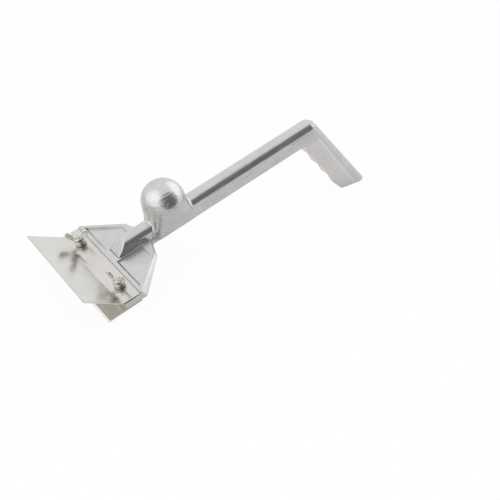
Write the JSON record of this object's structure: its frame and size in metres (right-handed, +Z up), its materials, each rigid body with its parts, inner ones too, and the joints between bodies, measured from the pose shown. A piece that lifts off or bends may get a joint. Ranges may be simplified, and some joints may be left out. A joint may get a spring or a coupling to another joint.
{
  "type": "grill scraper",
  "caption": "Hand-held grill scraper: cast bar handle with ball knob and pistol grip, wide blade head, bent guard plate and flat steel blade clamped by wing nuts.",
  "frame": {"origin": "on the floor under the middle of the scraper's bounding box, as it rests on its cutting edge and the end of its grip", "axes": "+X back from the blade towards the grip, +Y to the right side seen from above with the blade ahead of the grip, +Z up from the floor"},
  "size_m": [0.3448, 0.12, 0.0879],
  "materials": {
    "cast_handle": "tumbled casting, hand-polished",
    "cast_head": "fine satin casting",
    "guard_sheet": "bright stainless sheet, warm tone",
    "blade_steel": "ground steel",
    "plated_fastener": "nickel plate",
    "plated_nut": "bright nickel plate"
  },
  "bodies": {
    "scraper": {"handle_casting": "cast_handle", "head_casting": "cast_head", "guard_plate": "guard_sheet", "handle_screw_front": "plated_fastener", "handle_screw_rear": "plated_fastener", "clamp_bolt_right": "plated_fastener", "clamp_bolt_left": "plated_fastener", "flat_washer_right": "plated_fastener", "flat_washer_left": "plated_fastener"},
    "blade": {"scraper_blade": "blade_steel"},
    "nut_carrier_right": {"spring_washer_right": "plated_fastener"},
    "nut_carrier_left": {"spring_washer_left": "plated_fastener"},
    "nut_right": {"wing_nut_right": "plated_nut"},
    "nut_left": {"wing_nut_left": "plated_nut"}
  },
  "joints": [
    {"name": "blade_shift", "type": "slide", "parent": "scraper", "child": "blade", "axis": [0, 1, 0], "range_m": [-0.0008, 0.0008]},
    {"name": "nut_right_lift", "type": "slide", "parent": "scraper", "child": "nut_carrier_right", "axis": [-0.2594, 0, 0.9658], "range_m": [0, 0.002]},
    {"name": "nut_right_turn", "type": "hinge", "parent": "nut_carrier_right", "child": "nut_right", "pos_m": [-0.13098, 0.0372, 0.01763], "axis": [-0.2594, 0, 0.9658], "range_deg": [0, 900]},
    {"name": "nut_left_lift", "type": "slide", "parent": "scraper", "child": "nut_carrier_left", "axis": [-0.2594, 0, 0.9658], "range_m": [0, 0.002]},
    {"name": "nut_left_turn", "type": "hinge", "parent": "nut_carrier_left", "child": "nut_left", "pos_m": [-0.13098, -0.0372, 0.01763], "axis": [-0.2594, 0, 0.9658], "range_deg": [0, 900]}
  ],
  "couplings": [
    {"joint": "nut_right_turn", "follows": "nut_right_lift", "rad_per_m": 7853.9},
    {"joint": "nut_left_turn", "follows": "nut_left_lift", "rad_per_m": 7853.9}
  ]
}
